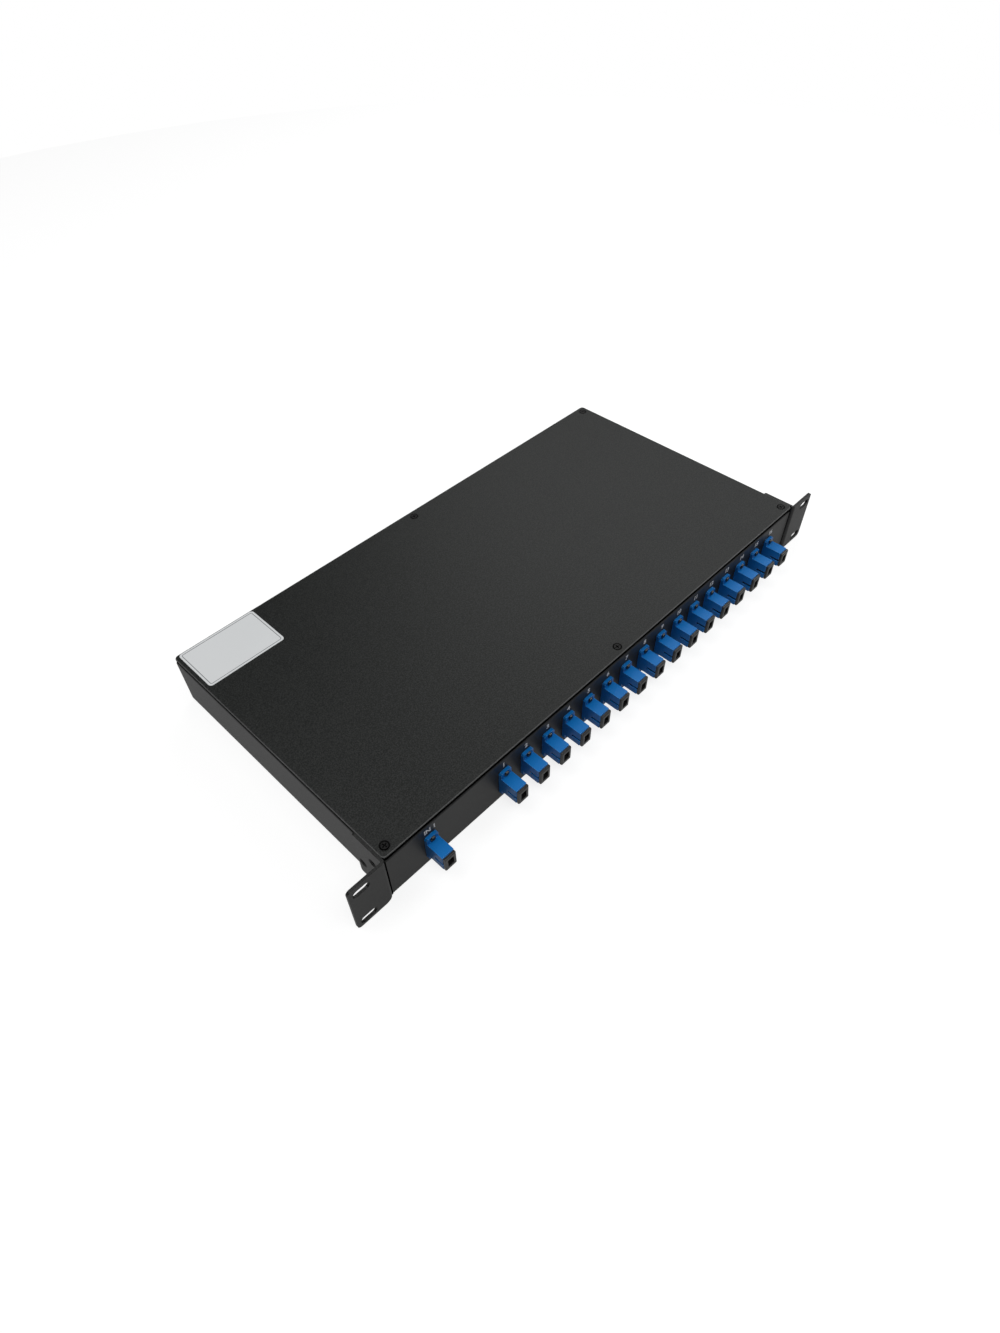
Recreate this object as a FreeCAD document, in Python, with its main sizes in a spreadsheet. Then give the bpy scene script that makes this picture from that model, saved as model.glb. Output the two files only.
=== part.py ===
import FreeCAD, Part
import os
import re

# One-rack-unit fibre splitter box: a folded steel tray with a flat screwed
# cover, two rack ears, one input and sixteen output fibre adapters on the
# front panel, and a dust cap plugged into every adapter.
#
# Millimetres. X runs along the front panel, Y from the front to the back and
# Z upwards. The origin is the middle of the underside of the box.

PORTS = 16

SIZES = [
    # the box
    ("box_width", 428.0, "outside width of tray and cover"),
    ("box_depth", 219.0, "outside depth of tray and cover"),
    ("box_height", 44.0, "underside to top of cover"),
    ("sheet", 1.2, "steel of the tray"),
    ("cover_thick", 1.5, "steel of the cover"),
    ("seal_thick", 2.0, "foam strip that the cover is screwed down on"),
    ("seal_inset", 0.6, "edge of the box to the foam strip"),
    ("seal_width", 3.2, "width of the foam strip"),
    ("fold_width", 12.0, "inward fold round the top of the tray"),
    ("bend_radius", 2.0, "outside radius of the tray's folds"),
    ("corner_radius", 0.8, "outside radius of the tray's upright corners"),
    ("cover_corner", 3.0, "corner radius of the cover"),
    ("cover_edge", 0.35, "broken top edge of the cover"),
    # cover screws
    ("screw_inset", 6.2, "edge of the cover to the screw centres"),
    ("cover_shank", 2.9, "cover screw shank diameter"),
    ("cover_head", 7.2, "cover screw head diameter"),
    ("cover_screw_length", 7.0, "cover screw length"),
    ("shank_play", 0.1, "hole diameter less shank diameter"),
    # rack ears
    ("ear_flange", 27.3, "side wall of the box to the tip of the ear"),
    ("ear_thick", 2.0, "steel of the ears"),
    ("ear_height", 43.6, "height of the ears"),
    ("ear_foot", 0.2, "underside of the box to the ears"),
    ("ear_leg", 26.0, "length of the ear along the side wall"),
    ("ear_bend", 2.5, "outside radius of the ear's fold"),
    ("ear_corner", 3.0, "corner radius of the ear's flange"),
    ("leg_corner", 1.8, "corner radius of the ear's leg"),
    ("fold_corner", 6.5, "rounding at the lower end of the fold"),
    ("slot_tip", 8.75, "tip of the ear to the rack slot centres"),
    ("slot_rise", 31.75, "rack slot centres up and down"),
    ("slot_length", 12.0, "rack slot end to end"),
    ("slot_width", 6.0, "rack slot height"),
    ("slot_drop", 1.0, "middle of the ear down to the middle of its slots"),
    # ear screws
    ("ear_shank", 3.9, "ear screw shank diameter"),
    ("ear_head", 7.2, "ear screw head diameter"),
    ("ear_screw_length", 4.6, "ear screw length"),
    ("ear_screw_front", 10.0, "front panel to the upper ear screw"),
    ("ear_screw_back", 21.5, "front panel to the lower ear screw"),
    ("ear_screw_rise", 14.4, "lower to upper ear screw"),
    ("ear_screw_drop", 0.2, "middle of the ear down to the middle of its screws"),
    # fibre adapters
    ("port_pitch", 20.2, "centre to centre of the output ports"),
    ("row_end", 29.0, "end of the box to the last output port"),
    ("input_end", 33.4, "other end of the box to the input port"),
    ("port_level", 18.5, "height of the port centres"),
    ("body_width", 9.3, "adapter body and flange width"),
    ("body_height", 12.8, "adapter body height"),
    ("body_reach", 13.0, "adapter body in front of its flange"),
    ("body_edge", 0.4, "rounding of the adapter body's edges"),
    ("flange_height", 22.0, "adapter flange height"),
    ("flange_thick", 2.3, "adapter flange thickness"),
    ("flange_corner", 1.0, "bevel of the adapter flange's corners"),
    ("tail_reach", 14.0, "adapter behind the front of the panel"),
    ("tail_slim", 0.2, "how much slimmer the adapter is behind its flange"),
    ("cutout_play", 0.3, "panel cut-out less adapter tail"),
    ("socket_width", 7.4, "plug socket width"),
    ("socket_height", 9.2, "plug socket height"),
    ("socket_wall", 1.7, "wall between the front and back sockets"),
    ("key_width", 1.9, "key slot in the side of the body"),
    ("key_length", 7.3, "key slot length"),
    ("key_drop", 0.9, "middle of the body to the key slot"),
    ("holder_width", 4.4, "ferrule holder across its flats"),
    ("holder_reach", 6.0, "ferrule holder out of the wall, each way"),
    ("ferrule_bore", 2.6, "bore of the ferrule holder across its flats"),
    ("port_screw_rise", 18.0, "adapter screw centres up and down"),
    ("port_screw_hole", 2.4, "adapter screw hole across its flats"),
    # dust caps
    ("cap_slim", 0.4, "adapter body less dust cap"),
    ("cap_lip", 2.0, "dust cap in front of the adapter"),
    ("cap_edge", 0.5, "bevel round the front of the dust cap"),
    ("cap_gap", 0.1, "dust cap lip to adapter"),
    ("plug_play", 0.2, "socket less dust cap plug"),
    ("plug_length", 9.5, "dust cap plug in the socket"),
    ("plug_wall", 1.0, "wall of the hollow plug"),
    ("plug_floor", 1.2, "wall between the recess and the hollow plug"),
    ("grip_width", 4.6, "recess in the front of the dust cap"),
    ("grip_height", 7.0, "recess in the front of the dust cap"),
    ("grip_depth", 3.4, "recess in the front of the dust cap"),
    # label
    ("label_width", 60.0, "label along X"),
    ("label_length", 40.0, "label along Y"),
    ("label_thick", 0.15, "label"),
    ("label_corner", 2.5, "corner radius of the label"),
    ("label_side", 3.0, "side edge of the cover to the label"),
    ("label_back", 0.9, "back edge of the cover to the label"),
    # inside
    ("module_width", 100.0, "splitter module along X"),
    ("module_length", 80.0, "splitter module along Y"),
    ("module_height", 10.0, "splitter module height"),
    ("module_corner", 3.0, "corner radius of the splitter module"),
    ("module_back", 24.0, "back of the tray to the splitter module"),
    ("strap_width", 14.0, "hold-down strap along Y"),
    ("strap_thick", 1.0, "hold-down strap thickness"),
    ("strap_grip", 6.0, "strap over the splitter module"),
    ("strap_foot", 12.0, "strap on the floor of the tray"),
]

# Sizes that follow from the ones above.
DERIVED = [
    ("tray_height", "box_height - cover_thick - seal_thick"),
    ("panel_y", "-box_depth / 2"),
    ("side_x", "box_width / 2"),
    ("tip_x", "side_x + ear_flange"),
    ("slot_x", "tip_x - slot_tip"),
    ("first_port", "side_x - row_end - port_pitch * %d" % (PORTS - 1)),
    ("input_port", "-side_x + input_end"),
    ("screw_x", "side_x - screw_inset"),
    ("screw_front", "screw_inset"),
    ("screw_back", "box_depth - screw_inset"),
    ("ear_middle", "ear_foot + ear_height / 2"),
    ("ear_screw_high", "ear_middle - ear_screw_drop + ear_screw_rise / 2"),
    ("ear_screw_low", "ear_middle - ear_screw_drop - ear_screw_rise / 2"),
    ("body_front", "flange_thick + body_reach"),
    ("socket_depth", "(body_front + tail_reach - socket_wall) / 2"),
    ("holder_front", "body_front - socket_depth + holder_reach"),
    ("module_y", "box_depth - sheet - module_back - module_length / 2"),
    ("label_x", "side_x - label_side - label_width / 2"),
    ("label_y", "box_depth - label_back - label_length / 2"),
]

doc = FreeCAD.newDocument("fibre_splitter")
sheet = doc.addObject("Spreadsheet::Sheet", "Sizes")
slate = doc.addObject("Spreadsheet::Sheet", "Slate")
ALIASES = set()
KNOWN = {}


def fill_sheet():
    row = 1
    for name, value, note in SIZES:
        sheet.set("A%d" % row, name)
        sheet.set("B%d" % row, repr(value))
        sheet.set("C%d" % row, note)
        sheet.setAlias("B%d" % row, name)
        ALIASES.add(name)
        row += 1
    doc.recompute()
    for name, formula in DERIVED:
        sheet.set("A%d" % row, name)
        sheet.set("B%d" % row, "=" + formula)
        sheet.setAlias("B%d" % row, name)
        ALIASES.add(name)
        row += 1
    doc.recompute()


def ref(formula):
    """A formula in the sheet's names, as an expression for another object."""
    def full(match):
        word = match.group(0)
        return "Sizes." + word if word in ALIASES else word
    return re.sub(r"[A-Za-z_]+", full, str(formula))


def num(formula):
    """Value of the formula, worked out in a cell that nothing depends on."""
    text = ref(formula)
    if text not in KNOWN:
        slate.set("A1", "=" + text)
        slate.recompute()
        KNOWN[text] = float(slate.get("A1"))
    return KNOWN[text]


def bind(obj, **formulas):
    for prop, formula in formulas.items():
        obj.setExpression(prop, ref(formula))


def place(obj, x="0", y="0", z="0"):
    for axis, formula in (("x", x), ("y", y), ("z", z)):
        obj.setExpression("Placement.Base." + axis, ref(formula))


def new_body(label, several=False):
    body = doc.addObject("PartDesign::Body", label)
    body.Label = label
    if several:
        body.AllowCompound = True
    return body


def plane(body, role):
    for feature in body.Origin.OriginFeatures:
        if feature.Role == role:
            return feature
    raise ValueError(role)


def new_sketch(body, role, lift="0"):
    """A sketch on an origin plane, lifted along the plane's normal."""
    sketch = body.newObject("Sketcher::SketchObject", body.Label + "_sketch")
    sketch.AttachmentSupport = (plane(body, role), [""])
    sketch.MapMode = "FlatFace"
    sketch.setExpression("AttachmentOffset.Base.z", ref(lift))
    return sketch


def pin(sketch, geo, pos, u, v):
    """Fixes a point of the sketch at (u, v), each a formula."""
    for kind, formula in (("DistanceX", u), ("DistanceY", v)):
        index = sketch.addConstraint(Sketcher.Constraint(kind, -1, 1, geo, pos, num(formula)))
        sketch.setExpression("Constraints[%d]" % index, ref(formula))


def polygon(sketch, points):
    """Closed outline through points given as pairs of formulas."""
    at = [FreeCAD.Vector(num(u), num(v), 0) for u, v in points]
    first = sketch.GeometryCount
    count = len(at)
    for i in range(count):
        sketch.addGeometry(Part.LineSegment(at[i], at[(i + 1) % count]), False)
    for i in range(count):
        this, following = first + i, first + (i + 1) % count
        sketch.addConstraint(Sketcher.Constraint("Coincident", this, 2, following, 1))
        pin(sketch, this, 1, *points[i])


def rectangle(sketch, u, v, width, height):
    """Rectangle centred on (u, v)."""
    left, right = "%s - (%s) / 2" % (u, width), "%s + (%s) / 2" % (u, width)
    low, high = "%s - (%s) / 2" % (v, height), "%s + (%s) / 2" % (v, height)
    polygon(sketch, [(left, low), (right, low), (right, high), (left, high)])


def octagon(sketch, u, v, across):
    """Eight-sided outline round (u, v), measured across its flats."""
    flat, half = "(%s) / 2" % across, "(%s) * %.6f" % (across, (2 ** 0.5 - 1) / 2)
    corners = [(flat, half), (half, flat)]
    corners += [("-" + u1, v1) for u1, v1 in reversed(corners)]
    corners += [(u1, "-" + v1) for u1, v1 in reversed(corners)]
    polygon(sketch, [("%s + (%s)" % (u, a), "%s + (%s)" % (v, b)) for a, b in corners])


def circle(sketch, u, v, diameter):
    centre = FreeCAD.Vector(num(u), num(v), 0)
    ring = Part.Circle(centre, FreeCAD.Vector(0, 0, 1), num(diameter) / 2)
    geo = sketch.addGeometry(ring, False)
    pin(sketch, geo, 3, u, v)
    index = sketch.addConstraint(Sketcher.Constraint("Diameter", geo, num(diameter)))
    sketch.setExpression("Constraints[%d]" % index, ref(diameter))


def slot(sketch, u, v, length, width):
    """Slot along the sketch's first axis with round ends."""
    radius = num(width) / 2
    reach = num(length) / 2 - radius
    cu, cv = num(u), num(v)
    axis = FreeCAD.Vector(0, 0, 1)
    left = Part.Circle(FreeCAD.Vector(cu - reach, cv, 0), axis, radius)
    right = Part.Circle(FreeCAD.Vector(cu + reach, cv, 0), axis, radius)
    half = 3.141592653589793 / 2
    a = sketch.addGeometry(Part.ArcOfCircle(left, half, 3 * half), False)
    b = sketch.addGeometry(Part.ArcOfCircle(right, -half, half), False)
    low = sketch.addGeometry(Part.LineSegment(
        FreeCAD.Vector(cu - reach, cv - radius, 0), FreeCAD.Vector(cu + reach, cv - radius, 0)), False)
    high = sketch.addGeometry(Part.LineSegment(
        FreeCAD.Vector(cu + reach, cv + radius, 0), FreeCAD.Vector(cu - reach, cv + radius, 0)), False)
    for first, first_end, second, second_end in ((a, 2, low, 1), (low, 2, b, 1), (b, 2, high, 1), (high, 2, a, 1)):
        sketch.addConstraint(Sketcher.Constraint("Tangent", first, first_end, second, second_end))
    pin(sketch, a, 3, "%s - (%s - %s) / 2" % (u, length, width), v)
    pin(sketch, b, 3, "%s + (%s - %s) / 2" % (u, length, width), v)
    index = sketch.addConstraint(Sketcher.Constraint("Radius", a, radius))
    sketch.setExpression("Constraints[%d]" % index, ref("(%s) / 2" % width))


def corner_scrap(sketch, u, v, radius, side):
    """What a rounded corner at (u, v) loses; the steel lies above and beside it."""
    way = float(side)
    cu, cv, r = num(u), num(v), num(radius)
    corner = FreeCAD.Vector(cu, cv, 0)
    beside, above = FreeCAD.Vector(cu + way * r, cv, 0), FreeCAD.Vector(cu, cv + r, 0)
    inmost = FreeCAD.Vector(cu + way * r * (1 - 0.5 ** 0.5), cv + r * (1 - 0.5 ** 0.5), 0)
    low = sketch.addGeometry(Part.LineSegment(corner, beside), False)
    upright = sketch.addGeometry(Part.LineSegment(above, corner), False)
    curve = sketch.addGeometry(Part.Arc(beside, inmost, above), False)
    start = 1 if sketch.getPoint(curve, 1).distanceToPoint(beside) < 1e-6 else 2
    sketch.addConstraint(Sketcher.Constraint("Coincident", upright, 2, low, 1))
    sketch.addConstraint(Sketcher.Constraint("Coincident", curve, start, low, 2))
    sketch.addConstraint(Sketcher.Constraint("Coincident", curve, 3 - start, upright, 1))
    pin(sketch, low, 1, u, v)
    pin(sketch, low, 2, "%s + %s * %s" % (u, side, radius), v)
    pin(sketch, upright, 1, u, "%s + %s" % (v, radius))
    index = sketch.addConstraint(Sketcher.Constraint("Radius", curve, r))
    sketch.setExpression("Constraints[%d]" % index, ref(radius))


def pad(body, sketch, length, reverse=False, taper=None):
    feature = body.newObject("PartDesign::Pad", body.Label + "_pad")
    feature.Profile = sketch
    feature.Reversed = reverse
    bind(feature, Length=length)
    if taper is not None:
        feature.TaperAngle = taper
    return finish(body, feature, True)


def pocket(body, sketch, length, reverse=False, taper=None):
    feature = body.newObject("PartDesign::Pocket", body.Label + "_pocket")
    feature.Profile = sketch
    feature.Reversed = reverse
    bind(feature, Length=length)
    if taper is not None:
        feature.TaperAngle = taper
    return finish(body, feature, False)


def finish(body, feature, grows):
    """Recomputes, and makes sure that the feature changed the volume."""
    before = body.Tip.Shape.Volume if body.Tip and body.Tip != feature and body.Tip.Shape.isValid() else 0
    earlier = feature.BaseFeature.Shape.Volume if feature.BaseFeature else before
    doc.recompute()
    after = feature.Shape.Volume
    if grows and after <= earlier:
        raise ValueError(feature.Name + " added nothing")
    if not grows and after >= earlier:
        raise ValueError(feature.Name + " cut nothing")
    body.Tip = feature
    return feature


def round_edges(body, wanted, radius, kind="Fillet"):
    """Fillets or bevels the edges of the tip that the test picks."""
    base = body.Tip
    names = ["Edge%d" % (i + 1) for i, edge in enumerate(base.Shape.Edges) if wanted(edge)]
    if not names:
        raise ValueError(body.Label + ": no edge to round")
    feature = body.newObject("PartDesign::" + kind, body.Label + "_" + kind.lower())
    feature.Base = (base, names)
    bind(feature, **{"Radius" if kind == "Fillet" else "Size": radius})
    doc.recompute()
    body.Tip = feature
    return feature


def along(edge, axis):
    """True for a straight edge that runs along the axis numbered 0, 1 or 2."""
    if edge.Curve.TypeId != "Part::GeomLine":
        return False
    return abs(abs(edge.tangentAt(edge.FirstParameter)[axis]) - 1) < 1e-6


def near(value, target):
    return abs(value - target) < 1e-4


def middle(edge):
    return edge.CenterOfMass


def repeat(body, feature, sketch, length, count):
    """Copies a feature along X, to the far end of the given length."""
    pattern = body.newObject("PartDesign::LinearPattern", body.Label + "_row")
    pattern.Originals = [feature]
    pattern.Direction = (sketch, ["H_Axis"])
    bind(pattern, Length=length)
    pattern.Occurrences = count
    doc.recompute()
    body.Tip = pattern
    return pattern


ROW_LENGTH = "port_pitch * %d" % (PORTS - 1)


def port_x(index):
    """Formula for a port's X: index 0 is the input, 1 to PORTS the outputs."""
    if index == 0:
        return "input_port"
    return "first_port + port_pitch * %d" % (index - 1)


def cover_screw_points():
    return [(x, y) for y in ("screw_front", "screw_back") for x in ("-screw_x", "0", "screw_x")]


def ear_screw_points():
    return [("ear_screw_front", "ear_screw_high"), ("ear_screw_back", "ear_screw_low")]


# ---------------------------------------------------------------- the tray

def make_tray():
    """Folded tray: floor, four walls, an inward fold and the panel's holes."""
    body = new_body("base_tray")
    place(body, y="panel_y")
    outline = new_sketch(body, "XY_Plane")
    rectangle(outline, "0", "box_depth / 2", "box_width", "box_depth")
    pad(body, outline, "tray_height")
    round_edges(body, lambda e: along(e, 2), "corner_radius")
    top = num("tray_height")
    round_edges(body, lambda e: near(e.BoundBox.ZLength, 0)
                and (near(e.BoundBox.ZMin, 0) or near(e.BoundBox.ZMax, top)), "bend_radius")
    inside = new_sketch(body, "XY_Plane", "sheet")
    rectangle(inside, "0", "box_depth / 2", "box_width - 2 * sheet", "box_depth - 2 * sheet")
    pocket(body, inside, "tray_height - 2 * sheet", reverse=True)
    mouth = new_sketch(body, "XY_Plane", "tray_height")
    rectangle(mouth, "0", "box_depth / 2", "box_width - 2 * fold_width", "box_depth - 2 * fold_width")
    pocket(body, mouth, "2 * sheet")
    # holes in the fold for the cover screws
    tapped = new_sketch(body, "XY_Plane", "tray_height")
    for x, y in cover_screw_points():
        circle(tapped, x, y, "cover_shank + shank_play")
    pocket(body, tapped, "2 * sheet")
    # the cut-out for the input adapter, and the row of sixteen
    for x, count in ((port_x(1), PORTS), (port_x(0), 1)):
        hole = new_sketch(body, "XZ_Plane")
        rectangle(hole, x, "port_level", "body_width - tail_slim + cutout_play",
                  "body_height - tail_slim + cutout_play")
        cut = pocket(body, hole, "2 * sheet")
        if count > 1:
            repeat(body, cut, hole, ROW_LENGTH, count)
    # holes in both side walls for the ear screws
    for reverse in (False, True):
        sides = new_sketch(body, "YZ_Plane")
        for y, z in ear_screw_points():
            circle(sides, y, z, "ear_shank + shank_play")
        pocket(body, sides, "box_width", reverse=reverse)
    return body


def make_cover():
    """Flat cover with six countersunk holes and a broken top edge."""
    body = new_body("top_cover")
    place(body, y="panel_y", z="tray_height + seal_thick")
    outline = new_sketch(body, "XY_Plane")
    rectangle(outline, "0", "box_depth / 2", "box_width", "box_depth")
    pad(body, outline, "cover_thick")
    round_edges(body, lambda e: along(e, 2), "cover_corner")
    top = num("cover_thick")
    round_edges(body, lambda e: near(e.BoundBox.ZMin, top), "cover_edge", "Chamfer")
    shanks = new_sketch(body, "XY_Plane", "cover_thick")
    for x, y in cover_screw_points():
        circle(shanks, x, y, "cover_shank + shank_play")
    pocket(body, shanks, "2 * cover_thick")
    sinks = new_sketch(body, "XY_Plane", "cover_thick")
    for x, y in cover_screw_points():
        circle(sinks, x, y, "cover_head")
    pocket(body, sinks, "(cover_head - cover_shank - shank_play) / 2", taper=-45)
    return body


def make_seal():
    """Foam strip between the tray's fold and the cover."""
    body = new_body("cover_seal")
    place(body, y="panel_y", z="tray_height")
    outline = new_sketch(body, "XY_Plane")
    rectangle(outline, "0", "box_depth / 2", "box_width - 2 * seal_inset", "box_depth - 2 * seal_inset")
    rectangle(outline, "0", "box_depth / 2", "box_width - 2 * (seal_inset + seal_width)",
              "box_depth - 2 * (seal_inset + seal_width)")
    pad(body, outline, "seal_thick")
    return body


def make_cover_screws():
    """Six countersunk screws, flush with the cover."""
    body = new_body("cover_screws", several=True)
    place(body, y="panel_y", z="box_height")
    heads = new_sketch(body, "XY_Plane")
    for x, y in cover_screw_points():
        circle(heads, x, y, "cover_head")
    pad(body, heads, "(cover_head - cover_shank) / 2", reverse=True, taper=-45)
    shanks = new_sketch(body, "XY_Plane")
    for x, y in cover_screw_points():
        circle(shanks, x, y, "cover_shank")
    pad(body, shanks, "cover_screw_length", reverse=True)
    return body


# ---------------------------------------------------------------- the ears

def make_ear(label, side):
    """Folded bracket: a leg on the side wall and a slotted flange in front."""
    body = new_body(label)
    place(body, y="panel_y", z="ear_foot")
    profile = new_sketch(body, "XY_Plane")
    inner = "%s * side_x" % side
    outer = "%s * (side_x + ear_thick)" % side
    tip = "%s * tip_x" % side
    polygon(profile, [(tip, "-ear_thick"), (inner, "-ear_thick"), (inner, "ear_leg"),
                      (outer, "ear_leg"), (outer, "0"), (tip, "0")])
    pad(body, profile, "ear_height")
    wall, back, end = num(inner), num("ear_leg"), num(tip)
    round_edges(body, lambda e: along(e, 2) and near(middle(e).x, wall) and middle(e).y < 0, "ear_bend")
    knee = num(outer)
    round_edges(body, lambda e: along(e, 2) and near(middle(e).x, knee) and near(middle(e).y, 0),
                "ear_bend - ear_thick")
    round_edges(body, lambda e: along(e, 1) and near(middle(e).x, end), "ear_corner")
    round_edges(body, lambda e: along(e, 0) and near(middle(e).y, back), "leg_corner")
    slots = new_sketch(body, "XZ_Plane", "ear_thick")
    for sign in ("+", "-"):
        slot(slots, "%s * slot_x" % side, "ear_height / 2 - slot_drop %s slot_rise / 2" % sign,
             "slot_length", "slot_width")
    pocket(body, slots, "2 * ear_thick")
    scrap = new_sketch(body, "XZ_Plane", "ear_thick")
    corner_scrap(scrap, inner, "0", "fold_corner", side)
    pocket(body, scrap, "ear_thick + ear_bend")
    lift = "%s * (side_x + ear_thick)" % side
    reverse = side == "-1"
    holes = new_sketch(body, "YZ_Plane", lift)
    for y, z in ear_screw_points():
        circle(holes, y, z + " - ear_foot", "ear_shank + shank_play")
    pocket(body, holes, "2 * ear_thick", reverse=reverse)
    sinks = new_sketch(body, "YZ_Plane", lift)
    for y, z in ear_screw_points():
        circle(sinks, y, z + " - ear_foot", "ear_head")
    pocket(body, sinks, "(ear_head - ear_shank - shank_play) / 2", reverse=reverse, taper=-45)
    return body


def make_ear_screws():
    """Two countersunk screws through each ear into the side wall."""
    body = new_body("ear_screws", several=True)
    place(body, y="panel_y")
    for side, reverse in (("-1", False), ("1", True)):
        lift = "%s * (side_x + ear_thick)" % side
        heads = new_sketch(body, "YZ_Plane", lift)
        for y, z in ear_screw_points():
            circle(heads, y, z, "ear_head")
        pad(body, heads, "(ear_head - ear_shank) / 2", reverse=reverse, taper=-45)
        shanks = new_sketch(body, "YZ_Plane", lift)
        for y, z in ear_screw_points():
            circle(shanks, y, z, "ear_shank")
        pad(body, shanks, "ear_screw_length", reverse=reverse)
    return body


# ---------------------------------------------------------------- the ports

def make_adapter(label, index):
    """Flanged adapter: two sockets back to back round a ferrule holder."""
    body = new_body(label)
    place(body, port_x(index), "panel_y", "port_level")
    flange = new_sketch(body, "XZ_Plane")
    rectangle(flange, "0", "0", "body_width", "flange_height")
    pad(body, flange, "flange_thick")
    round_edges(body, lambda e: along(e, 1), "flange_corner", "Chamfer")
    front = new_sketch(body, "XZ_Plane", "flange_thick")
    rectangle(front, "0", "0", "body_width", "body_height")
    pad(body, front, "body_reach")
    nose = -num("body_front")
    round_edges(body, lambda e: near(e.BoundBox.YMin, nose) and near(e.BoundBox.YMax, nose),
                "body_edge", "Chamfer")
    tail = new_sketch(body, "XZ_Plane")
    rectangle(tail, "0", "0", "body_width - tail_slim", "body_height - tail_slim")
    pad(body, tail, "tail_reach", reverse=True)
    mouth = new_sketch(body, "XZ_Plane", "body_front")
    rectangle(mouth, "0", "0", "socket_width", "socket_height")
    pocket(body, mouth, "socket_depth")
    rear = new_sketch(body, "XZ_Plane", "-tail_reach")
    rectangle(rear, "0", "0", "socket_width", "socket_height")
    pocket(body, rear, "socket_depth", reverse=True)
    key = new_sketch(body, "XZ_Plane", "body_front")
    rectangle(key, "-body_width / 2", "-key_drop", "body_width - socket_width + 1", "key_width")
    pocket(body, key, "key_length")
    holder = new_sketch(body, "XZ_Plane", "holder_front")
    octagon(holder, "0", "0", "holder_width")
    pad(body, holder, "2 * holder_reach + socket_wall", reverse=True)
    bore = new_sketch(body, "XZ_Plane", "holder_front")
    octagon(bore, "0", "0", "ferrule_bore")
    pocket(body, bore, "2 * holder_reach + 2 * socket_wall")
    holes = new_sketch(body, "XZ_Plane", "flange_thick")
    for sign in ("", "-"):
        octagon(holes, "0", sign + "port_screw_rise / 2", "port_screw_hole")
    pocket(body, holes, "2 * flange_thick")
    return body


def make_cap(label, index):
    """Dust cap: a lip with a moulded recess, and a hollow plug."""
    body = new_body(label)
    place(body, port_x(index), "panel_y - body_front - cap_gap", "port_level")
    lip = new_sketch(body, "XZ_Plane")
    rectangle(lip, "0", "0", "body_width - cap_slim", "body_height - cap_slim")
    pad(body, lip, "cap_lip")
    nose = -num("cap_lip")
    round_edges(body, lambda e: near(e.BoundBox.YMin, nose) and near(e.BoundBox.YMax, nose),
                "cap_edge", "Chamfer")
    plug = new_sketch(body, "XZ_Plane")
    rectangle(plug, "0", "0", "socket_width - plug_play", "socket_height - plug_play")
    pad(body, plug, "plug_length", reverse=True)
    tail = num("plug_length")
    round_edges(body, lambda e: near(e.BoundBox.YMin, tail), "cap_edge", "Chamfer")
    grip = new_sketch(body, "XZ_Plane", "cap_lip")
    rectangle(grip, "0", "0", "grip_width", "grip_height")
    pocket(body, grip, "grip_depth")
    hollow = new_sketch(body, "XZ_Plane", "-plug_length")
    rectangle(hollow, "0", "0", "socket_width - plug_play - 2 * plug_wall",
              "socket_height - plug_play - 2 * plug_wall")
    pocket(body, hollow, "plug_length - (grip_depth - cap_lip) - plug_floor", reverse=True)
    return body


# ---------------------------------------------------------------- label, inside

def make_label():
    """Self-adhesive label on the cover, in the back left corner."""
    body = new_body("cover_label")
    place(body, "-label_x", "panel_y + label_y", "box_height")
    outline = new_sketch(body, "XY_Plane")
    rectangle(outline, "0", "0", "label_width", "label_length")
    pad(body, outline, "label_thick")
    round_edges(body, lambda e: along(e, 2), "label_corner")
    return body


def make_module():
    """Flat splitter module on the floor of the tray."""
    body = new_body("splitter_module")
    place(body, "0", "panel_y + module_y", "sheet")
    outline = new_sketch(body, "XY_Plane")
    rectangle(outline, "0", "0", "module_width", "module_length")
    pad(body, outline, "module_height")
    round_edges(body, lambda e: along(e, 2), "module_corner")
    return body


def make_strap(label, side):
    """Z-shaped strap from the floor over one end of the splitter module."""
    body = new_body(label)
    place(body, "0", "panel_y + module_y + strap_width / 2", "sheet")
    near_x = "module_width / 2"
    points = [(near_x + " - strap_grip", "module_height"),
              (near_x, "module_height"), (near_x, "0"),
              (near_x + " + strap_foot", "0"),
              (near_x + " + strap_foot", "strap_thick"),
              (near_x + " + strap_thick", "strap_thick"),
              (near_x + " + strap_thick", "module_height + strap_thick"),
              (near_x + " - strap_grip", "module_height + strap_thick")]
    profile = new_sketch(body, "XZ_Plane")
    polygon(profile, [("%s * (%s)" % (side, u), v) for u, v in points])
    pad(body, profile, "strap_width")
    return body


def export(bodies):
    doc.recompute()
    for obj in doc.Objects:
        if "Invalid" in obj.State or "Error" in obj.State:
            raise ValueError("%s did not compute: %s" % (obj.Name, obj.State))
    os.makedirs("parts", exist_ok=True)
    for body in bodies:
        shape = body.Shape
        if shape.isNull() or not shape.isValid() or shape.Volume <= 0:
            raise ValueError(body.Label + " has no valid shape")
        shape.exportStep(os.path.join("parts", body.Label + ".step"))
        box = shape.BoundBox
        print("%-16s %2d solid(s) %10.1f mm3  x %7.2f %7.2f  y %8.2f %7.2f  z %6.2f %6.2f" % (
            body.Label, len(shape.Solids), shape.Volume,
            box.XMin, box.XMax, box.YMin, box.YMax, box.ZMin, box.ZMax))


def main():
    fill_sheet()
    bodies = [make_tray(), make_cover(), make_seal(), make_cover_screws(),
              make_ear("ear_left", "-1"), make_ear("ear_right", "1"), make_ear_screws(),
              make_label(), make_module(), make_strap("strap_left", "-1"),
              make_strap("strap_right", "1")]
    for index in range(PORTS + 1):
        name = "in" if index == 0 else "%02d" % index
        bodies.append(make_adapter("adapter_" + name, index))
        bodies.append(make_cap("cap_" + name, index))
    doc.removeObject(slate.Name)
    export(bodies)


import Sketcher

main()
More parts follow.
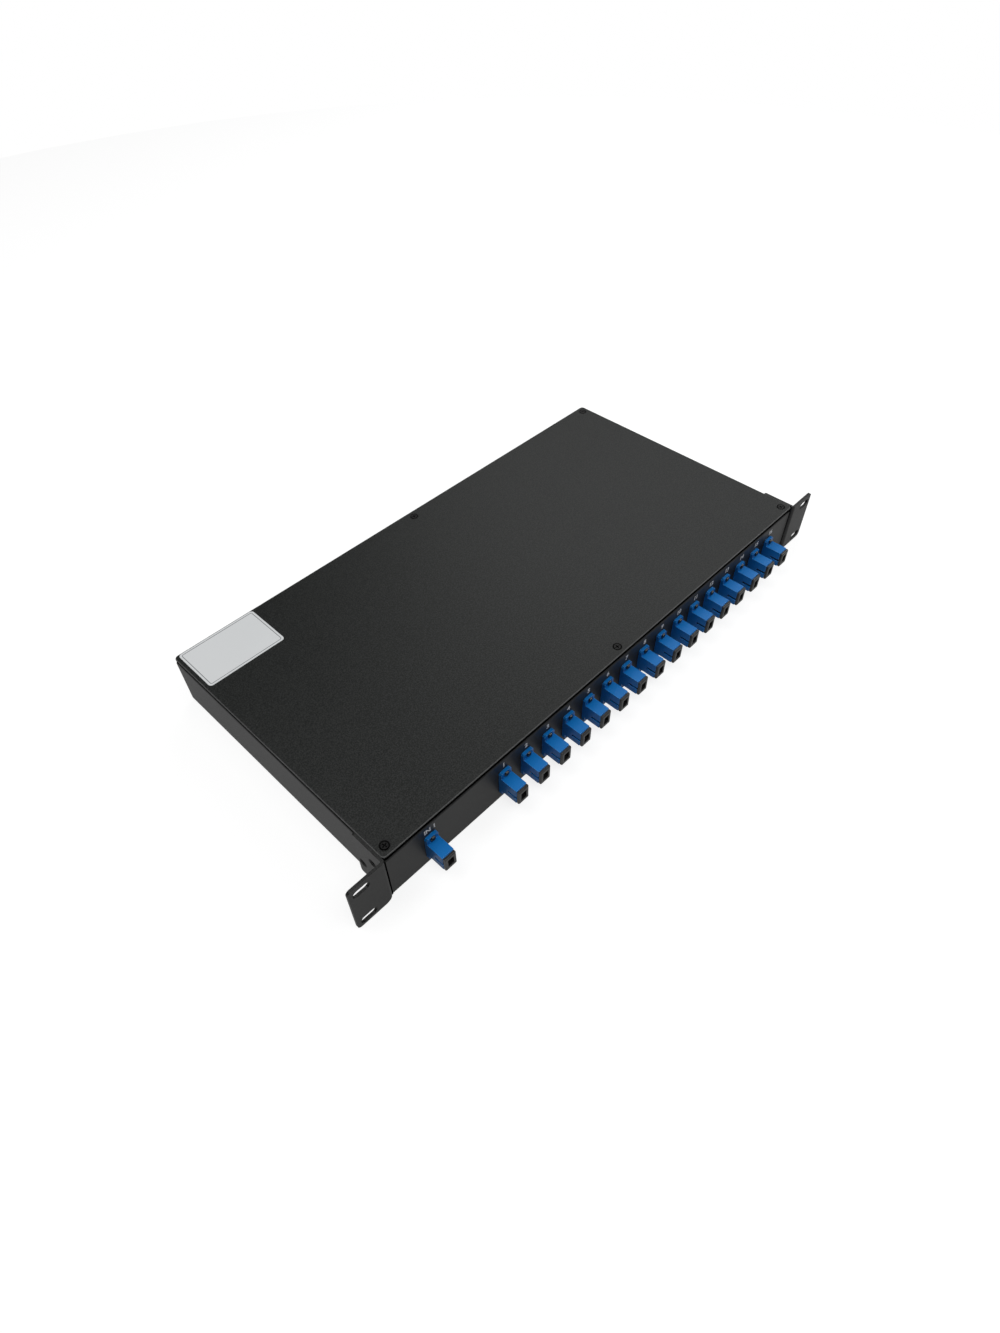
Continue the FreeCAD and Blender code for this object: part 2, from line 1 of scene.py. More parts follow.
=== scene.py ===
# %% [markdown]
# # A rack-mount fibre splitter box
#
# The real thing is a flat steel box, one rack unit high: a folded tray, a
# screwed-down cover, two slotted ears and a row of blue fibre adapters, each
# closed by a black dust cap. The engineering model already has every one of
# those pieces at its true size. This file dresses it: paint, moulded plastic,
# rounded edges that catch the light, screw heads, printed port numbers and
# the bare silver label.
#
# Everything is in metres. The origin is the middle of the underside, +X runs
# along the front panel, +Y goes to the back and +Z is up.

# %% Load the engineering model
import math

import bmesh
import bpy
from mathutils import Matrix, Vector


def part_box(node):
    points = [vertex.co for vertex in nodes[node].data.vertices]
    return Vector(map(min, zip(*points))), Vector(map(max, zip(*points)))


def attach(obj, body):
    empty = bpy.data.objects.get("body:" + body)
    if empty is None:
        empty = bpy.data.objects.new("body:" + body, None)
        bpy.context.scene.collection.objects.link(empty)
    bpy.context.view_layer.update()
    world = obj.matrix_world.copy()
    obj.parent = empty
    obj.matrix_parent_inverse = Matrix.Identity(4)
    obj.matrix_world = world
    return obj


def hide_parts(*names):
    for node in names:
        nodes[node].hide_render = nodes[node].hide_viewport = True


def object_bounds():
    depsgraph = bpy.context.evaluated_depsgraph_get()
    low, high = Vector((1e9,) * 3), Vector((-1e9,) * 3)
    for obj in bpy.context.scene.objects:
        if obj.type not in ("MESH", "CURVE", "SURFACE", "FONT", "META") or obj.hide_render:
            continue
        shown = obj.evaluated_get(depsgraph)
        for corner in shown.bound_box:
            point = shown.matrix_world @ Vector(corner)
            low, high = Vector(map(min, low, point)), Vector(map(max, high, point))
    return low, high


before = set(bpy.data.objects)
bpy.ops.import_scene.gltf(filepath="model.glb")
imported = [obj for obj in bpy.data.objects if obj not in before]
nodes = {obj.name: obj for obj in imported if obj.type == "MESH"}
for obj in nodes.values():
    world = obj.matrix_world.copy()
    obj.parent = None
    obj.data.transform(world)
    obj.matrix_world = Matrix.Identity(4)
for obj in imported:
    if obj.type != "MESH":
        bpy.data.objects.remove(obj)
cad_bounds = [list(corner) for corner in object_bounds()]
print("engineering model:", len(nodes), "nodes, box", cad_bounds)

# %% [markdown]
# ## The camera
#
# A camera is a place and three directions. Working the directions out from an
# azimuth (left or right), an elevation (up) and a small roll keeps each number
# meaningful: change the azimuth and the box turns, change the roll and only
# the horizon tilts. The lens is a short one, so the near end of the box looks
# clearly larger than the far end.

# %% Camera
AZIMUTH, ELEVATION, ROLL = (math.radians(angle) for angle in (-44.783, 48.774, -1.495))
EYE = Vector((-0.31866, -0.31072, 0.45072))
LENS_MM, SENSOR_MM = 21.889, 36
NEAREST = 0.01


def aim(azimuth, elevation, roll):
    """Rotation of a camera that looks back along the given direction."""
    back = Vector((math.sin(azimuth) * math.cos(elevation),
                   -math.cos(azimuth) * math.cos(elevation), math.sin(elevation)))
    right = Vector((math.cos(azimuth), math.sin(azimuth), 0))
    turn = Matrix.Rotation(roll, 3, back)
    right = turn @ right
    up = back.cross(right)
    return Matrix((right, up, back)).transposed().to_4x4()


scene = bpy.context.scene
camera_data = bpy.data.cameras.new("camera")
camera_data.lens = LENS_MM
camera_data.sensor_width = SENSOR_MM
camera_data.clip_start = NEAREST
camera = bpy.data.objects.new("camera", camera_data)
scene.collection.objects.link(camera)
camera.matrix_world = Matrix.Translation(EYE) @ aim(AZIMUTH, ELEVATION, ROLL)
scene.camera = camera
scene.view_settings.view_transform = "Standard"
print("camera at", tuple(round(c, 3) for c in EYE), "lens", LENS_MM)

# %% [markdown]
# ## The floor
#
# The box lies on white paper. Glossy black paint is a mirror of its
# surroundings, so paper that is bright everywhere would turn the paint grey.
# The Light Path node tells which ray is looking: a camera ray sees a strong
# glow, a mirror ray a weaker one, and every other ray none. Under the glow the
# paper is a plain grey sheet, which takes the box's soft shadow.

# %% Floor
FLOOR_RADIUS, FLOOR_GAP = 1.4, 0.0002
FLOOR_GREY, FLOOR_SEEN, FLOOR_MIRRORED = 0.3, 0.83, 0.36


def link(tree, source, target):
    tree.links.new(source, target)


def new_material(name):
    material = bpy.data.materials.new(name)
    material.use_nodes = True
    return material, material.node_tree, material.node_tree.nodes["Principled BSDF"]


def calculator(tree, operation):
    node = tree.nodes.new("ShaderNodeMath")
    node.operation = operation
    return node


def white_paper():
    """A matt sheet whose glow depends on the kind of ray that meets it."""
    material, tree, shader = new_material("white_paper")
    shader.inputs["Base Color"].default_value = (FLOOR_GREY, FLOOR_GREY, FLOOR_GREY, 1)
    shader.inputs["Roughness"].default_value = 0.9
    shader.inputs["Specular IOR Level"].default_value = 0.1
    shader.inputs["Emission Color"].default_value = (1, 1, 1, 1)
    path = tree.nodes.new("ShaderNodeLightPath")
    seen = calculator(tree, "MULTIPLY_ADD")
    seen.inputs[1].default_value = FLOOR_MIRRORED / FLOOR_SEEN
    glow = calculator(tree, "MULTIPLY")
    glow.inputs[1].default_value = FLOOR_SEEN
    link(tree, path.outputs["Is Glossy Ray"], seen.inputs[0])
    link(tree, path.outputs["Is Camera Ray"], seen.inputs[2])
    link(tree, seen.outputs[0], glow.inputs[0])
    link(tree, glow.outputs[0], shader.inputs["Emission Strength"])
    return material


mesh = bpy.data.meshes.new("floor")
bm = bmesh.new()
bmesh.ops.create_circle(bm, cap_ends=True, segments=64, radius=FLOOR_RADIUS)
bm.to_mesh(mesh)
bm.free()
mesh.materials.append(white_paper())
floor = bpy.data.objects.new("floor", mesh)
floor.location.z = cad_bounds[0][2] - FLOOR_GAP
scene.collection.objects.link(floor)
print("floor radius", FLOOR_RADIUS)

# %% [markdown]
# ## The room
#
# Behind the paper the camera sees pure white. The light that the room itself
# gives is almost nothing, because even a little white from every side would
# lay a grey veil over the black paint. The lamps do the lighting instead.

# %% Room
ROOM_LIGHT, ROOM_SEEN = 0.02, 1.0


def white_room():
    """A world that is white to the camera and nearly dark to everything else."""
    world = bpy.data.worlds.new("room")
    scene.world = world
    world.use_nodes = True
    tree = world.node_tree
    background = tree.nodes["Background"]
    path = tree.nodes.new("ShaderNodeLightPath")
    strength = tree.nodes.new("ShaderNodeMapRange")
    strength.inputs["To Min"].default_value = ROOM_LIGHT
    strength.inputs["To Max"].default_value = ROOM_SEEN
    link(tree, path.outputs["Is Camera Ray"], strength.inputs["Value"])
    background.inputs["Color"].default_value = (1, 1, 1, 1)
    link(tree, strength.outputs["Result"], background.inputs["Strength"])


white_room()
print("room light", ROOM_LIGHT)

# %% [markdown]
# ## Lamps
#
# Black paint shows mostly what it mirrors. The cover mirrors the window at the
# back right, and so has a sheen that grows towards its right end. The lamp
# overhead is there for the label and the left wall, the one in front for the
# panel and the ears, and the one at the right for the far end of the panel.
# All four are large area lamps, whose soft edges keep the paint from looking
# spotlit.

# %% Lamps
LAMPS = [  # name, place, point that it faces, width and height, watts
    ("lamp_over", (-0.7, 0.5, 1.9), (0, 0, 0), (1.2, 1.2), 12.5),
    ("lamp_front", (-0.2, -0.9, 1.7), (0, 0, 0), (1.2, 0.8), 11),
    ("window_back_right", (1.25, 0.85, 1.45), (0, 0, 0), (1.3, 1.2), 8),
    ("lamp_right", (1.6, -0.4, 1.1), (0.1, 0, 0), (1.0, 0.8), 10),
]


def soft_lamp(name, place, target, size, watts):
    data = bpy.data.lights.new(name, "AREA")
    data.shape = "RECTANGLE"
    data.size, data.size_y = size
    data.energy = watts
    lamp = bpy.data.objects.new(name, data)
    scene.collection.objects.link(lamp)
    lamp.location = place
    direction = Vector(target) - Vector(place)
    lamp.rotation_euler = direction.to_track_quat("-Z", "Y").to_euler()
    print("lamp", name, "at", place)


for lamp in LAMPS:
    soft_lamp(*lamp)

# %% [markdown]
# ## The grain of paint and plastic
#
# Powder coat is sprayed dry and baked, so it is never perfectly smooth: it has
# a fine orange-peel grain just under a millimetre across, and its tone drifts
# a little from place to place. Moulded plastic has the same kind of grain,
# only shallower. An image could carry it, but noise in object coordinates
# needs no unwrapping and never repeats. It is built once, as a node group
# that gives a height and a mask, and every finish places it with its own
# values.

# %% The grain group
def new_group(name, inputs, outputs):
    """A node group with named sockets, and its two end nodes."""
    group = bpy.data.node_groups.new(name, "ShaderNodeTree")
    for title, kind, value in inputs:
        socket = group.interface.new_socket(title, in_out="INPUT",
                                            socket_type="NodeSocket" + kind)
        socket.default_value = value
    for title, kind in outputs:
        group.interface.new_socket(title, in_out="OUTPUT", socket_type="NodeSocket" + kind)
    return group, group.nodes.new("NodeGroupInput"), group.nodes.new("NodeGroupOutput")


FINE_DETAIL, WIDE_SCALE, WIDE_DETAIL = 2.0, 14.0, 3.0
WIDE_LOW, WIDE_HIGH = 0.35, 0.65


def grain_group():
    group, given, result = new_group("surface_grain",
                                     [("Scale", "Float", 900.0), ("Drift", "Float", 0.15)],
                                     [("Height", "Float"), ("Mask", "Float")])
    place = group.nodes.new("ShaderNodeTexCoord")
    fine = group.nodes.new("ShaderNodeTexNoise")
    fine.inputs["Detail"].default_value = FINE_DETAIL
    wide = group.nodes.new("ShaderNodeTexNoise")
    wide.inputs["Scale"].default_value = WIDE_SCALE
    wide.inputs["Detail"].default_value = WIDE_DETAIL
    spread = group.nodes.new("ShaderNodeMapRange")
    spread.inputs["From Min"].default_value = WIDE_LOW
    spread.inputs["From Max"].default_value = WIDE_HIGH
    scaled = calculator(group, "MULTIPLY")
    link(group, place.outputs["Object"], fine.inputs["Vector"])
    link(group, place.outputs["Object"], wide.inputs["Vector"])
    link(group, given.outputs["Scale"], fine.inputs["Scale"])
    link(group, wide.outputs["Fac"], spread.inputs["Value"])
    link(group, spread.outputs["Result"], scaled.inputs[0])
    link(group, given.outputs["Drift"], scaled.inputs[1])
    link(group, fine.outputs["Fac"], result.inputs["Height"])
    link(group, scaled.outputs[0], result.inputs["Mask"])
    return group


GRAIN = grain_group()
print("node group", GRAIN.name, "ready")

# %% [markdown]
# ## Painted glints
#
# The tops of the grain in black powder coat sparkle as small glints of light.
# Bump alone can't show them under soft lamps, so a painted glint lightens the
# colour a little where the grain is high. This is a group too, because the
# cover, the tray and the ears all use it.

# %% The speck group
# Painted glint: how high the grain must be before its colour is lightened.
GLINT_FROM, GLINT_FULL = 0.4, 0.65


def glint_group():
    group, given, result = new_group("pale_specks",
                                     [("Colour", "Color", (0, 0, 0, 1)),
                                      ("Speck Colour", "Color", (0, 0, 0, 1)),
                                      ("Height", "Float", 0.0), ("Amount", "Float", 0.0)],
                                     [("Colour", "Color")])
    tops = group.nodes.new("ShaderNodeMapRange")
    tops.inputs["From Min"].default_value = GLINT_FROM
    tops.inputs["From Max"].default_value = GLINT_FULL
    mixed = group.nodes.new("ShaderNodeMix")
    mixed.data_type = "RGBA"
    link(group, given.outputs["Height"], tops.inputs["Value"])
    link(group, given.outputs["Amount"], tops.inputs["To Max"])
    link(group, tops.outputs["Result"], mixed.inputs["Factor"])
    link(group, given.outputs["Colour"], mixed.inputs["A"])
    link(group, given.outputs["Speck Colour"], mixed.inputs["B"])
    link(group, mixed.outputs["Result"], result.inputs["Colour"])
    return group


GLINTS = glint_group()
print("node group", GLINTS.name, "ready")

# %% [markdown]
# ## Painted edge highlights
#
# A rounded edge catches a thin line of light, and the bevel alone catches too
# little of it, so a painted highlight makes the colour a little paler there.
# The faces that a bevel makes carry a 1 in the attribute named below, and all
# other faces a 0. This group reads it and mixes the colour towards a pale tone
# on those faces alone.

# %% The edge group
EDGE = "rounded_edge"
# Painted highlight: the pale tone that the faces made by a bevel are mixed towards.
EDGE_HIGHLIGHT_TONE = (0.9, 0.9, 0.9, 1)


def edge_highlight_group():
    group, given, result = new_group("paler_edges",
                                     [("Colour", "Color", (0, 0, 0, 1)),
                                      ("Amount", "Float", 0.0)],
                                     [("Colour", "Color")])
    rounded = group.nodes.new("ShaderNodeAttribute")
    rounded.attribute_name = EDGE
    share = calculator(group, "MULTIPLY")
    mixed = group.nodes.new("ShaderNodeMix")
    mixed.data_type = "RGBA"
    mixed.inputs["B"].default_value = EDGE_HIGHLIGHT_TONE
    link(group, rounded.outputs["Fac"], share.inputs[0])
    link(group, given.outputs["Amount"], share.inputs[1])
    link(group, share.outputs[0], mixed.inputs["Factor"])
    link(group, given.outputs["Colour"], mixed.inputs["A"])
    link(group, mixed.outputs["Result"], result.inputs["Colour"])
    return group


EDGES = edge_highlight_group()
print("node group", EDGES.name, "ready")

# %% [markdown]
# ## One recipe for every finish
#
# Paint, plastic, painted shade, ink and screw all differ in the same few values:
# colour, roughness, how strongly they mirror, and how deep their grain is. So
# one function makes them all from the three groups. The colour drifts a
# little, then takes painted glints on the grain tops and a painted highlight on
# the bevels; the grain's height also feeds the bump and moves the roughness up
# and down.

# %% The recipe
LOW_GRAIN, HIGH_GRAIN = 0.3, 0.7
ROUGHNESS_SWING = 0.05
DRIFT_GAIN, DRIFT_LIFT = 1.5, 0.004
GLINT_GAIN, GLINT_LIFT = 2, 0.04
BUMP_DEPTH = 0.00006


def raised(colour, gain, lift):
    """The same hue, lighter."""
    return (*[min(1, c * gain + lift) for c in colour], 1)


def placed(tree, group, **values):
    """A node that holds the given group, with its own values set."""
    node = tree.nodes.new("ShaderNodeGroup")
    node.node_tree = group
    for title, value in values.items():
        node.inputs[title.replace("_", " ")].default_value = value
    return node


# The last two values are painted light: how much a painted glint lightens the grain tops, and
# how much a painted highlight lightens the bevel faces.
def grained(name, colour, roughness, scale=900.0, bump=0.25, drift=0.15, metallic=0.0,
            specular=0.5, glint=0.0, edge=0.0):
    """A finish whose colour and roughness vary a little over the surface."""
    material, tree, shader = new_material(name)
    shader.inputs["Metallic"].default_value = metallic
    shader.inputs["Specular IOR Level"].default_value = specular
    grain = placed(tree, GRAIN, Scale=scale, Drift=drift)
    tint = tree.nodes.new("ShaderNodeMix")
    tint.data_type = "RGBA"
    tint.inputs["A"].default_value = (*colour, 1)
    tint.inputs["B"].default_value = raised(colour, DRIFT_GAIN, DRIFT_LIFT)
    link(tree, grain.outputs["Mask"], tint.inputs["Factor"])
    # Painted glints: a lighter colour on the tops of the grain.
    glints = placed(tree, GLINTS, Amount=glint,
                    Speck_Colour=raised(colour, GLINT_GAIN, GLINT_LIFT))
    link(tree, tint.outputs["Result"], glints.inputs["Colour"])
    link(tree, grain.outputs["Height"], glints.inputs["Height"])
    # Painted highlight: a paler colour on the faces that a bevel made.
    edges = placed(tree, EDGES, Amount=edge)
    link(tree, glints.outputs["Colour"], edges.inputs["Colour"])
    link(tree, edges.outputs["Colour"], shader.inputs["Base Color"])
    rough = tree.nodes.new("ShaderNodeMapRange")
    rough.inputs["From Min"].default_value = LOW_GRAIN
    rough.inputs["From Max"].default_value = HIGH_GRAIN
    rough.inputs["To Min"].default_value = roughness - ROUGHNESS_SWING
    rough.inputs["To Max"].default_value = roughness + ROUGHNESS_SWING
    link(tree, grain.outputs["Height"], rough.inputs["Value"])
    link(tree, rough.outputs["Result"], shader.inputs["Roughness"])
    relief = tree.nodes.new("ShaderNodeBump")
    relief.inputs["Strength"].default_value = bump
    relief.inputs["Distance"].default_value = BUMP_DEPTH
    link(tree, grain.outputs["Height"], relief.inputs["Height"])
    link(tree, relief.outputs["Normal"], shader.inputs["Normal"])
    return material


print("recipe ready, groups:", [group.name for group in bpy.data.node_groups])

# %% [markdown]
# ## Powder coat
#
# The tray, the cover and the ears are sprayed with the same black powder, but
# each takes the light a little differently, so each has its own sheen, painted
# glints and painted edge highlight. The joint under the cover's rim is a shadow
# gap, so the cut edge of the cover is painted matt black as painted shade, like
# the black strip below it.

# %% Paints
PAINT_BLACK = (0.003, 0.0035, 0.003)
PAINT = {"roughness": 0.46, "scale": 1200}
cover_paint = grained("cover_powder_coat", (0.003, 0.0042, 0.0035), bump=0.7, specular=0.36,
                      glint=0.5, edge=0.09, **PAINT)
case_paint = grained("case_powder_coat", PAINT_BLACK, bump=0.6, specular=0.4, glint=0.4,
                     edge=0.03, **PAINT)
ear_paint = grained("ear_powder_coat", PAINT_BLACK, bump=0.6, specular=0.42, glint=0.4,
                    edge=0.09, **PAINT)
# Painted shade: the cover's cut edge is matt black to stand for the shadow in the joint under
# its rim.
edge_painted_shade = grained("cover_cut_edge", (0.0015, 0.0015, 0.0015), 0.6, scale=1200, bump=0.3,
                     specular=0.0)
print("paints:", len(bpy.data.materials))

# %% [markdown]
# ## Plastic, painted shade and screws
#
# The adapters are moulded in a clear mid blue and the caps in a soft black;
# both take a painted highlight on their bevels. The black strips under the
# cover and beside the ears are painted shade: they drink all light and stand
# for the shadow in the joints. The screws are blackened steel: satin in the
# cover, dull in the ears, and glossy where they hold the adapters, so that
# each catches a small bright spot.

# %% Plastics and screws
SCREW_SCALE = 2500
adapter_blue = grained("adapter_blue_plastic", (0.005, 0.175, 0.54), 0.35, bump=0.08, drift=0.1,
                       specular=0.25, edge=0.2)
cap_black = grained("cap_black_plastic", (0.007, 0.007, 0.0075), 0.38, bump=0.1, edge=0.03)
screw_black = grained("screw_black_oxide", (0.003, 0.003, 0.003), 0.42, scale=SCREW_SCALE,
                      bump=0.15, specular=0.28)
screw_glossy = grained("screw_glossy_black", (0.01, 0.01, 0.01), 0.2, scale=SCREW_SCALE,
                       bump=0.1, specular=0.8)
screw_dull = grained("screw_dull_black", (0.002, 0.002, 0.002), 0.6, scale=SCREW_SCALE,
                     bump=0.15, specular=0.1)
# Painted shade: a black with no mirror at all, for the strips that stand for the shadow in the
# joints.
gap_shade_black = grained("seal_foam", (0.0015, 0.0015, 0.0015), 0.95, scale=1800, bump=0.6,
                     specular=0.0)
print("with plastics and screws:", len(bpy.data.materials))

# %% [markdown]
# ## Label, ink and the pieces inside
#
# The label is a thin silver film with a grey printed line. The port numbers
# are white ink. The splitter module and its straps are bare steel, and the
# sleeves in the sockets are white ceramic.

# %% Light finishes
label_film = grained("label_silver_film", (0.82, 0.84, 0.85), 0.45, scale=700, bump=0.05,
                     drift=0.1)
label_line = grained("label_grey_line", (0.3, 0.31, 0.32), 0.5, scale=700, bump=0.02)
white_ink = grained("port_white_ink", (0.93, 0.93, 0.92), 0.55, scale=3000, bump=0.1)
steel = grained("module_steel", (0.5, 0.5, 0.52), 0.35, scale=1200, bump=0.1, metallic=1.0)
sleeve_white = grained("sleeve_ceramic", (0.78, 0.78, 0.75), 0.25, scale=SCREW_SCALE, bump=0.05)
print("finishes:", len(bpy.data.materials))

# %% [markdown]
# ## Finishes on the engineering pieces
#
# Each engineering piece keeps its mesh and its place and only gets a material
# here. Some of them are replaced by rounded copies further down, but the ones
# that stay, such as the tray, need their paint.

# %% Paint the engineering pieces
PLAIN = {"base_tray": case_paint, "top_cover": cover_paint, "cover_seal": gap_shade_black,
         "ear_left": ear_paint, "ear_right": ear_paint, "cover_screws": screw_black,
         "ear_screws": screw_black, "cover_label": label_film, "splitter_module": steel,
         "strap_left": steel, "strap_right": steel}


def paint(obj, material):
    obj.data.materials.clear()
    obj.data.materials.append(material)


for name, node in nodes.items():
    if name in PLAIN:
        paint(node, PLAIN[name])
    elif name.startswith("adapter_"):
        paint(node, adapter_blue)
    elif name.startswith("cap_"):
        paint(node, cap_black)
print("painted:", len(nodes), "nodes")

# %% [markdown]
# ## Rounded edges
#
# Nothing moulded or laser-cut has a knife edge. A small bevel on every corner
# catches a thin line of light, and that line is most of what makes plastic and
# painted steel look real. The engineering meshes have sharp edges, so the
# pieces that show best are copied, welded, cleaned of the triangles that lie
# in one plane, and bevelled. The faces that the bevel makes are marked for the
# edge group. The copy then stands in for the original.

# %% Copies with rounded edges
WELD, FLAT_ANGLE = 1e-6, math.radians(2)


def welded(node):
    """The node's mesh in the shared frame, in one piece, without spare edges."""
    bm = bmesh.new()
    bm.from_mesh(node.data)
    bm.transform(node.matrix_world)
    bmesh.ops.remove_doubles(bm, verts=bm.verts, dist=WELD)
    bmesh.ops.dissolve_limit(bm, angle_limit=FLAT_ANGLE, verts=bm.verts, edges=bm.edges)
    return bm


def soften(bm, width, steps=2, sharpest=50, wanted=None):
    """Bevels the edges that turn by more than the given angle."""
    marked = bm.faces.layers.float.new(EDGE)
    bm.normal_update()
    edges = [e for e in bm.edges if len(e.link_faces) == 2
             and e.calc_face_angle(0) > math.radians(sharpest) and (wanted is None or wanted(e))]
    made = bmesh.ops.bevel(bm, geom=edges, offset=width, offset_type="OFFSET", segments=steps,
                           profile=0.5, affect="EDGES", clamp_overlap=True, material=-1)
    for face in made["faces"]:
        face[marked] = 1.0
    return len(edges)


print("pieces to copy:", [name for name in nodes if name.startswith(("top", "ear"))])

# %% [markdown]
# ## From mesh to piece
#
# A finished mesh has one material, smooth shading and sharp edges where it
# turns strongly. A piece that stands for an engineering node also takes a
# Weighted Normal modifier: without it, large flat faces beside a bevel would
# shade as if they were bent.

# %% Pieces on bodies
def finished(bm, name, material, smooth=40):
    mesh = bpy.data.meshes.new(name)
    bm.to_mesh(mesh)
    bm.free()
    mesh.materials.clear()
    mesh.materials.append(material)
    mesh.shade_smooth()
    mesh.set_sharp_from_angle(angle=math.radians(smooth))
    return mesh


def put(mesh, name, body):
    """Makes a piece of a finished mesh, and lets it ride on a body."""
    piece = bpy.data.objects.new(name, mesh)
    scene.collection.objects.link(piece)
    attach(piece, body)
    return piece


def stand_for(mesh, name, body, node_name):
    """A piece that takes the place of an engineering node."""
    piece = put(mesh, name, body)
    level = piece.modifiers.new("flat_faces_stay_flat", "WEIGHTED_NORMAL")
    level.keep_sharp = True
    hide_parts(node_name)


def add(mesh, name):
    """A piece that the engineering model lacks: it rides on the box."""
    put(mesh, name, "box")


print("bodies to ride on:", 1 + sum(name.startswith("cap_") for name in nodes))

# %% [markdown]
# ## The cover
#
# The cover is a flat laser-cut plate. Its upper rim is eased and catches a
# light line, helped by a painted highlight. Its cut edge below that line is
# painted matt black, a painted shade for the shadow in the joint. So only the
# edges on the upper outline are bevelled, and the upright faces all round take
# the second material, the painted shade.

# %% Cover with an eased rim
COVER_HALF_WIDTH, COVER_HALF_DEPTH, COVER_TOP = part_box("top_cover")[1]
RIM_ROUNDING, RIM_BAND, OUTLINE_BAND = 0.0003, 0.0006, 0.001
CUT_BAND, UPRIGHT = 0.0005, 0.1


def outside(point, band):
    """True for a point within a band of the cover's outline."""
    return (abs(point.x) > COVER_HALF_WIDTH - band
            or abs(point.y) > COVER_HALF_DEPTH - band)


def on_the_rim(edge):
    return (all(v.co.z > COVER_TOP - RIM_BAND for v in edge.verts)
            and any(outside(v.co, OUTLINE_BAND) for v in edge.verts))


bm = welded(nodes["top_cover"])
print("cover edges rounded:", soften(bm, RIM_ROUNDING, steps=3, sharpest=30, wanted=on_the_rim))
cover_mesh = finished(bm, "cover_rounded", cover_paint)
# The second material is painted shade for the cut edge.
cover_mesh.materials.append(edge_painted_shade)
for face in cover_mesh.polygons:
    if abs(face.normal.z) < UPRIGHT and outside(face.center, CUT_BAND):
        face.material_index = 1
stand_for(cover_mesh, "cover_rounded", "box", "top_cover")

# %% [markdown]
# ## The rack ears
#
# The ears are folded from thicker sheet. All their sharp edges are eased by
# the same small amount, the edges of the rack slots too.

# %% Ears
EAR_ROUNDING = 0.00025
for side in ("left", "right"):
    bm = welded(nodes["ear_" + side])
    count = soften(bm, EAR_ROUNDING)
    ear_mesh = finished(bm, "ear_" + side + "_rounded", ear_paint)
    stand_for(ear_mesh, "ear_" + side + "_rounded", "box", "ear_" + side)
    print("ear", side, "edges rounded:", count)

# %% [markdown]
# ## Screws
#
# A screw is a turned part: one half-outline spun round its axis. The cross
# recess is cut with a second solid by a Boolean modifier, because a shape
# that is really cut throws a true shadow at every angle. Each kind is made
# once and then copied to every place where the product has one.

# %% Turned solids and the cross recess
SEAM, RECESS_TAPER, RECESS_ABOVE = 1e-7, 0.45, 0.0002


def turned(outline, steps=32):
    """Spins a half-outline of (radius, height) pairs round Z."""
    bm = bmesh.new()
    points = [bm.verts.new((radius, 0, height)) for radius, height in outline]
    edges = [bm.edges.new(pair) for pair in zip(points, points[1:])]
    bmesh.ops.spin(bm, geom=points + edges, cent=(0, 0, 0), axis=(0, 0, 1), angle=2 * math.pi,
                   steps=steps, use_merge=True, use_duplicate=False)
    bmesh.ops.remove_doubles(bm, verts=bm.verts, dist=SEAM)
    bmesh.ops.recalc_face_normals(bm, faces=bm.faces)
    return bm


def cross(reach, width, depth):
    """Two crossed bars that narrow downwards, with their tops at Z = 0."""
    bm = bmesh.new()
    for turn in (0, math.pi / 2):
        bar = bmesh.ops.create_cube(bm, size=1)["verts"]
        for vert in bar:
            upper = vert.co.z > 0
            narrow = 1 if upper else RECESS_TAPER
            vert.co = Vector((vert.co.x * 2 * reach * narrow, vert.co.y * width * narrow,
                              (vert.co.z - 0.5) * depth + (RECESS_ABOVE if upper else 0)))
        bmesh.ops.rotate(bm, verts=bar, cent=(0, 0, 0), matrix=Matrix.Rotation(turn, 3, "Z"))
    return bm


print("recess narrows to", RECESS_TAPER)


# %% One screw, and its copies
def temporary(bm, name):
    """A scratch object, for a modifier to work on."""
    mesh = bpy.data.meshes.new(name)
    bm.to_mesh(mesh)
    bm.free()
    piece = bpy.data.objects.new(name, mesh)
    scene.collection.objects.link(piece)
    return piece


def screw(name, outline, reach, width, depth, top):
    """A turned screw with a cross recess cut into its head."""
    body = temporary(turned(outline), name + "_blank")
    cutter = temporary(cross(reach, width, depth), name + "_cutter")
    cutter.location.z = top
    cut = body.modifiers.new("recess", "BOOLEAN")
    cut.operation, cut.object, cut.solver, cut.use_self = "DIFFERENCE", cutter, "EXACT", True
    bpy.context.view_layer.update()
    seen = body.evaluated_get(bpy.context.evaluated_depsgraph_get())
    shape = bpy.data.meshes.new_from_object(seen)
    for used in (body, cutter):
        bpy.data.objects.remove(used)
    print("screw", name, "has", len(shape.polygons), "faces")
    return shape


def scattered(shape, places, name, material):
    """One mesh that holds a copy of the shape at every place."""
    bm = bmesh.new()
    for place in places:
        copy = shape.copy()
        copy.transform(place)
        bm.from_mesh(copy)
    return finished(bm, name, material, smooth=35)


print("ready to cut and copy screws")

# %% [markdown]
# ## Cover screws
#
# Six flat-headed screws sit flush in their countersinks. Between the disc
# with the recess and the cone of the head runs a narrow groove, which shows
# as a dark ring. The heads are turned by different amounts, as hands leave
# them.

